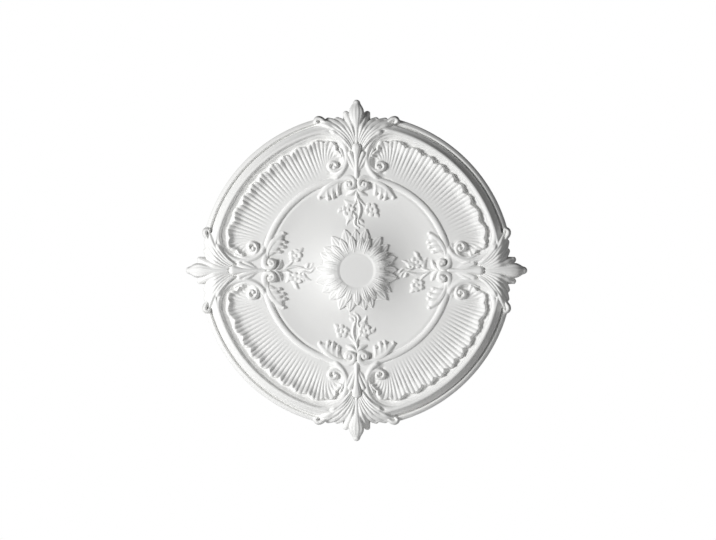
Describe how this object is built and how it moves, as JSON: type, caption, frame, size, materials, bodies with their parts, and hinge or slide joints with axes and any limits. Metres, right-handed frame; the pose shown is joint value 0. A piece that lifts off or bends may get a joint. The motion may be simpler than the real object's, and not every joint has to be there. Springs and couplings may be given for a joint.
{
  "type": "ceiling rose",
  "caption": "Round white moulded ceiling rose with fluted shell panels, acanthus palmettes, flower sprays and a sunflower boss round a flat lamp seat; fixed flat to a ceiling.",
  "frame": {"origin": "middle of the flat back, on the ceiling's surface", "axes": "-Y out of the carved face and +Y into the ceiling; +Z is up and +X right in the picture, and both run through palmettes. On a ceiling the part is turned so that +Y points up"},
  "size_m": [0.95, 0.058, 0.95],
  "materials": {
    "primed_white": "matt white primer on hard foam"
  },
  "bodies": {
    "root": {"ceiling_rose": "primed_white"}
  },
  "joints": []
}
